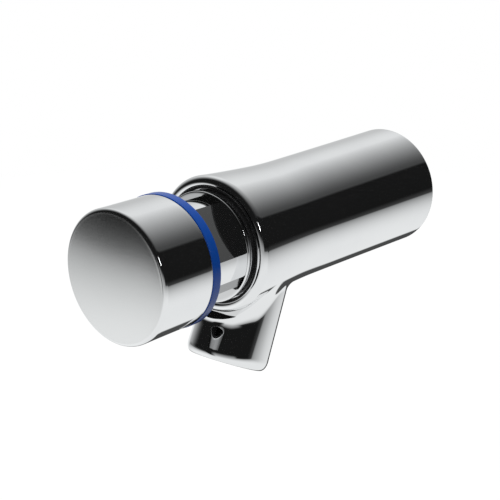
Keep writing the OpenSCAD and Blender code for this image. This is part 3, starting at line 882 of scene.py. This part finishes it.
def mix(tree, factor, a, b):
    """Colour between a and b."""
    node = tree.nodes.new("ShaderNodeMix")
    node.data_type = "RGBA"
    node.clamp_factor = False
    join(tree, factor, node.inputs[0])
    join(tree, a, node.inputs[6])
    join(tree, b, node.inputs[7])
    return Value(tree, node.outputs[2])


def bump(tree, height, strength, distance):
    """A normal that follows a height; distance is in metres."""
    return add(tree, "ShaderNodeBump", None, {"Height": height, "Strength": strength, "Distance": distance})


def new_material(name):
    """A new material, its node tree and the sockets of its shader."""
    material = bpy.data.materials.new(name)
    material.use_nodes = True
    tree = material.node_tree
    return material, tree, tree.nodes["Principled BSDF"].inputs


def rgb(r, g, b):
    """A colour with full alpha."""
    return (r, g, b, 1.0)


CHROME = rgb(0.87, 0.875, 0.88)
CHROME_DULL = rgb(0.84, 0.845, 0.855)
BRASS = rgb(0.66, 0.46, 0.19)
SATIN = rgb(0.80, 0.805, 0.805)
# Near black for the cap's inside: painted shade in the hollow.
HOLLOW_PAINTED_SHADE = rgb(0.06, 0.06, 0.062)
BLUE = rgb(0.0, 0.048, 0.28)
BLUE_LIGHT = rgb(0.0, 0.054, 0.31)
# Near black for the ring's rear face: painted shade, not a colour of the moulding.
RING_REAR_PAINTED_SHADE = rgb(0.008, 0.009, 0.012)
# Share of the light that the plate gives back
PLATE_SHARE = 0.86


def along_axis(y, low_s, high_s):
    """Smooth step from 0 at low_s to 1 at high_s along the tap's axis."""
    return y.step(-low_s * MM, -high_s * MM)


def from_axis(x, z, low_r, high_r):
    """Smooth step from 0 at low_r to 1 at high_r out from the tap's axis."""
    return (x * x + z * z).math("SQRT").step(low_r * MM, high_r * MM)


def chrome_parts(tree, place):
    """Polished plate: faint cloudy dulling in colour and gloss, with fine wipe marks."""
    cloud = noise(tree, place, 45.0, 4.0)
    marks = noise(tree, place, 900.0, 2.0)
    colour = mix(tree, cloud.step(0.35, 0.75), CHROME, CHROME_DULL)
    rough = cloud.step(0.3, 0.8, 0.028, 0.055) + marks.step(0.45, 0.8, 0.0, 0.02)
    return colour, rough


def body_material():
    """Chrome with machined brass in the threaded socket."""
    material, tree, inputs = new_material("chrome_body")
    place, (x, y, z) = object_xyz(tree)
    colour, rough = chrome_parts(tree, place)
    socket = from_axis(x, z, BRASS_R, BRASS_FULL_R) * along_axis(y, BRASS_S, BRASS_FULL_S)
    cut = noise(tree, place, 2500.0, 2.0).step(0.3, 0.7, 0.18, 0.34)
    join(tree, mix(tree, socket, colour, BRASS), inputs["Base Color"])
    join(tree, rough + socket * (cut - rough), inputs["Roughness"])
    inputs["Metallic"].default_value = 1.0
    return material


def chrome_material():
    """Chrome all over."""
    material, tree, inputs = new_material("chrome_neck")
    place, _ = object_xyz(tree)
    colour, rough = chrome_parts(tree, place)
    join(tree, colour, inputs["Base Color"])
    join(tree, rough, inputs["Roughness"])
    inputs["Metallic"].default_value = 1.0
    return material


def button_material():
    """Polished side, satin face with fine grain, and a rough inside painted near black as painted shade."""
    material, tree, inputs = new_material("chrome_button")
    place, (x, y, z) = object_xyz(tree)
    colour, rough = chrome_parts(tree, place)
    face = along_axis(y, SATIN_S, SATIN_FULL_S)
    grain = noise(tree, place, 4200.0, 3.0, 0.6)
    cloud = noise(tree, place, 70.0, 3.0)
    satin = grain.step(0.25, 0.75, 0.15, 0.21) + cloud.step(0.3, 0.8, 0.0, 0.03)
    # Painted shade: the hollow behind the face and the spigot are darkened to near black.
    inside = from_axis(x, z, HOLLOW_R, HOLLOW_FULL_R) * along_axis(y, HOLLOW_S, HOLLOW_FULL_S)
    plated = mix(tree, face, colour, SATIN)
    join(tree, mix(tree, inside, plated, HOLLOW_PAINTED_SHADE), inputs["Base Color"])
    join(tree, rough + face * (satin - rough) + inside * (0.5 - rough), inputs["Roughness"])
    join(tree, bump(tree, grain * face, 0.06, 0.2 * MM), inputs["Normal"])
    inputs["Metallic"].default_value = 1.0
    return material


def plain_material(name, light, dark, rough, metal=0.0, scale=600.0, coat=0.0):
    """Two close tones in fine grain, gloss that varies with it, and a slight grain in relief."""
    material, tree, inputs = new_material(name)
    place, _ = object_xyz(tree)
    grain = noise(tree, place, scale, 3.0)
    cloud = noise(tree, place, scale / 12, 3.0)
    tone = (grain * 0.4 + cloud * 0.6).step(0.3, 0.7)
    join(tree, mix(tree, tone, dark, light), inputs["Base Color"])
    join(tree, grain.step(0.3, 0.7, rough - 0.05, rough + 0.05), inputs["Roughness"])
    join(tree, bump(tree, grain, 0.2, 0.03 * MM), inputs["Normal"])
    inputs["Metallic"].default_value = metal
    inputs["Coat Weight"].default_value = coat
    inputs["Coat Roughness"].default_value = 0.08
    return material


def ring_material():
    """Glossy blue moulding whose rear face is rougher and painted near black as painted shade."""
    material, tree, inputs = new_material("blue_plastic")
    place, (_, y, _) = object_xyz(tree)
    grain = noise(tree, place, 900.0, 3.0)
    cloud = noise(tree, place, 60.0, 3.0)
    blue = mix(tree, cloud.step(0.3, 0.7), BLUE, BLUE_LIGHT)
    # Painted shade: the ring's rear face is darkened to near black.
    rear = along_axis(y, RING_SHADE_S, RING_SHADE_FULL_S)
    join(tree, mix(tree, rear, blue, RING_REAR_PAINTED_SHADE), inputs["Base Color"])
    join(tree, grain.step(0.3, 0.7, 0.20, 0.27) + 0.3 * rear, inputs["Roughness"])
    join(tree, bump(tree, grain, 0.1, 0.01 * MM), inputs["Normal"])
    inputs["Specular IOR Level"].default_value = 0.35
    return material


def make_materials():
    """One material for each slot of the record."""
    white_light = rgb(0.80, 0.80, 0.78)
    white_dark = rgb(0.74, 0.74, 0.72)
    return {
        "brass": plain_material("brass", rgb(0.68, 0.48, 0.20), rgb(0.60, 0.40, 0.15), 0.24, 1.0, 1500.0),
        "steel": plain_material("steel", rgb(0.66, 0.65, 0.63), rgb(0.57, 0.56, 0.55), 0.26, 1.0, 1800.0),
        "rubber": plain_material("rubber", rgb(0.030, 0.030, 0.031), rgb(0.018, 0.018, 0.019), 0.62),
        "white_plastic": plain_material("white_plastic", white_light, white_dark, 0.38),
        "blue_plastic": ring_material(),
        "ruby": plain_material("ruby", rgb(0.45, 0.01, 0.04), rgb(0.35, 0.006, 0.03), 0.12, coat=0.6),
        "chrome": chrome_material(),
    }


def finish_piece(piece, material, body, slot, *nodes):
    """Gives a piece its material and its body, and hides the CAD nodes that it stands for; slot is not used.
    """
    piece.data.materials.append(material)
    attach(piece, body)
    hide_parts(*nodes)


def dress_cad(materials):
    """Each CAD node that shows takes the material of its slot in the record."""
    slots = {row["node"]: row["material_slot"] for row in frame["record"]["subparts"]}
    for name, node in frame["nodes"].items():
        node.data.materials.clear()
        node.data.materials.append(materials[slots[name]])


# Studio. x, y and z are the parts of a direction in the part's frame, and angles are in degrees.
# round_axis turns about the tap's axis, from straight up toward +X. azimuth goes from +Y toward +X.


def soft_light(round_axis, y):
    """Long soft light over the back left, fading toward the right."""
    falloff = ((45 - round_axis) / 75).clamp().math("POWER", 1.5)
    light = (0.045 + 0.655 * falloff) * round_axis.step(-80.0, -35.0, 0.71, 1.0)
    return light * round_axis.step(50.5, 45.0) * round_axis.step(-104.0, -92.0) * y.step(-0.5, 0.4)


def pale_floor(round_axis, below, x, y):
    """Floor that grows lighter below the horizon, with a dark gap at the back left."""
    depth = 1 - (1 - ((-8 - below) / 30).clamp()).math("POWER", 2.2)
    floor = 0.72 * depth * below.step(-10.5, -12.5) + 0.028 * below.step(-5.0, -11.0)
    floor = floor + 0.06 * below.step(-3.0, -9.0) * x.step(-0.2, -0.5) * y.step(0.2, -0.2)
    gap = round_axis.step(-165.0, -159.0) * round_axis.step(-118.0, -132.0) * y.step(0.2, 0.5)
    return floor * (1 - 0.93 * gap)


def studio(x, y, z):
    """What polished metal sees: a soft light, a dark room, a pale floor, a light wall and a low glow."""
    round_axis = x.math("ARCTAN2", z) * DEGREES
    elevation = z.math("ARCSINE") * DEGREES
    azimuth = x.math("ARCTAN2", y) * DEGREES
    rise = azimuth.step(45.0, 75.0, 0.0, 3.0)
    sink = y.step(-0.87, -0.98, 0.0, 14.0) * x.step(0.05, -0.15)
    floor = pale_floor(round_axis, elevation - rise + sink, x, y)
    behind = 0.75 * round_axis.step(-132.0, -118.0) * round_axis.step(-92.0, -104.0) * y.step(-0.1, 0.4)
    glow = 0.33 * y.step(-0.42, -0.62) * x.step(-0.2, 0.05) * elevation.step(9.0, -12.0)
    brightest = floor.math("MAXIMUM", behind).math("MAXIMUM", glow)
    return (0.008 + soft_light(round_axis, y) + brightest) / PLATE_SHARE


def strip_light(x, y, z):
    """A short upright strip at the right that makes the glints on collar and rim."""
    elevation = z.math("ARCSINE") * DEGREES
    azimuth = x.math("ARCTAN2", y) * DEGREES
    across = azimuth.step(117.5, 119.5) * azimuth.step(122.5, 120.5)
    upright = elevation.step(17.5, 19.5) * elevation.step(32.0, 27.0)
    return 11.0 * across * upright


def world_light():
    """White for the camera, the studio for mirror images, a plain room for all other light."""
    world = bpy.data.worlds.new("studio")
    bpy.context.scene.world = world
    world.use_nodes = True
    tree = world.node_tree
    x, y, z = split(tree, add(tree, "ShaderNodeTexCoord", output="Generated"))
    # A first mirror image has depth 2. Later ones are dimmer toward the left and the front.
    again = add(tree, "ShaderNodeLightPath", output="Ray Depth").step(2.2, 2.8)
    away = x.step(-0.1, -0.4).math("MAXIMUM", y.step(-0.78, -0.88))
    light = studio(x, y, z) * (1 - 0.55 * again * away) + strip_light(x, y, z) * (1 - again)
    room = mix(tree, z.step(-0.3, 0.3), rgb(0.2, 0.2, 0.2), rgb(0.9, 0.9, 0.9))
    camera = add(tree, "ShaderNodeLightPath", output="Is Camera Ray")
    glossy = add(tree, "ShaderNodeLightPath", output="Is Glossy Ray")
    plain = mix(tree, camera, room, rgb(1, 1, 1))
    cool = mix(tree, light, rgb(0, 0, 0), rgb(0.985, 1.0, 1.003))
    join(tree, mix(tree, glossy, plain, cool), tree.nodes["Background"].inputs["Color"])


def floor_material():
    """Matt white, mostly plain white to the camera and clear from below."""
    material, tree, inputs = new_material("floor_white")
    place, _ = object_xyz(tree)
    grain = noise(tree, place, 300.0, 2.0)
    join(tree, mix(tree, grain, rgb(0.88, 0.88, 0.88), rgb(0.90, 0.90, 0.90)), inputs["Base Color"])
    inputs["Roughness"].default_value = 0.9
    inputs["Specular IOR Level"].default_value = 0.0
    white = tree.nodes.new("ShaderNodeEmission")
    blend = tree.nodes.new("ShaderNodeMixShader")
    camera = add(tree, "ShaderNodeLightPath", output="Is Camera Ray")
    join(tree, camera * 0.85, blend.inputs[0])
    tree.links.new(tree.nodes["Principled BSDF"].outputs[0], blend.inputs[1])
    tree.links.new(white.outputs[0], blend.inputs[2])
    clear = tree.nodes.new("ShaderNodeBsdfTransparent")
    from_below = tree.nodes.new("ShaderNodeMixShader")
    join(tree, add(tree, "ShaderNodeNewGeometry", output="Backfacing"), from_below.inputs[0])
    tree.links.new(blend.outputs[0], from_below.inputs[1])
    tree.links.new(clear.outputs[0], from_below.inputs[2])
    tree.links.new(from_below.outputs[0], tree.nodes["Material Output"].inputs["Surface"])
    return material


def build_floor():
    """A round pale floor below the tap, flat rings about one point."""
    angle = even_angles(FLOOR_COLUMNS)
    r = np.linspace(0, FLOOR_R, FLOOR_ROWS)[:, None]
    x = r * np.sin(angle)
    y = FLOOR_MIDDLE_Y + r * np.cos(angle)
    z = np.full(x.shape, FLOOR_Z)
    shell = Shell()
    shell.add(np.stack([x, y, z], axis=-1).reshape(-1, 3), FLOOR_ROWS, FLOOR_COLUMNS)
    floor = shell.build("floor")
    floor.data.flip_normals()
    floor.data.materials.append(floor_material())
    floor.visible_glossy = False
    floor.visible_diffuse = False


def add_lamp(name):
    """A round area lamp over the back left that mirror images don't show."""
    data = bpy.data.lights.new(name, "AREA")
    data.shape = "DISK"
    data.size = LAMP_SIZE
    data.energy = LAMP_WATTS
    lamp = bpy.data.objects.new(name, data)
    lamp.location = LAMP_PLACE
    lamp.rotation_euler = (Vector(LAMP_AIM) - Vector(LAMP_PLACE)).to_track_quat("-Z", "Y").to_euler()
    lamp.visible_glossy = False
    bpy.context.scene.collection.objects.link(lamp)


def add_camera():
    """The camera, fitted to the tap's edges in the photograph."""
    data = bpy.data.cameras.new("camera")
    data.sensor_width = CAMERA_SENSOR
    data.lens = CAMERA_LENS
    data.clip_start = CAMERA_NEAREST
    camera = bpy.data.objects.new("camera", data)
    camera.location = CAMERA_PLACE
    camera.rotation_euler = Vector(CAMERA_AIM).to_track_quat("-Z", "Y").to_euler()
    bpy.context.scene.collection.objects.link(camera)
    bpy.context.scene.camera = camera


materials = make_materials()
dress_cad(materials)
finish_piece(build_body(), body_material(), "tap", "chrome", "body")
finish_piece(build_bonnet(), materials["chrome"], "tap", "chrome", "bonnet")
finish_piece(build_button(), button_material(), "button", "chrome", "push_button")
blue_ring = build_ring()
blue_ring.visible_glossy = False
finish_piece(blue_ring, materials["blue_plastic"], "button", "blue_plastic", "indicator_ring")
timing_spring = build_spring(
    "timing_coil", TIMING_COIL_R, TIMING_WIRE_R, TIMING_START_S, TIMING_END_S, TIMING_TURNS
)
fit_spring(timing_spring, materials["steel"], "timing_spring")
return_spring = build_spring(
    "return_coil", RETURN_COIL_R, RETURN_WIRE_R, NECK_END_S, BUTTON_FLOOR_S, RETURN_TURNS
)
fit_spring(return_spring, materials["steel"], "button_spring")

world_light()
build_floor()
add_lamp("soft_lamp")
add_camera()

view = bpy.context.scene.view_settings
view.view_transform = "Standard"
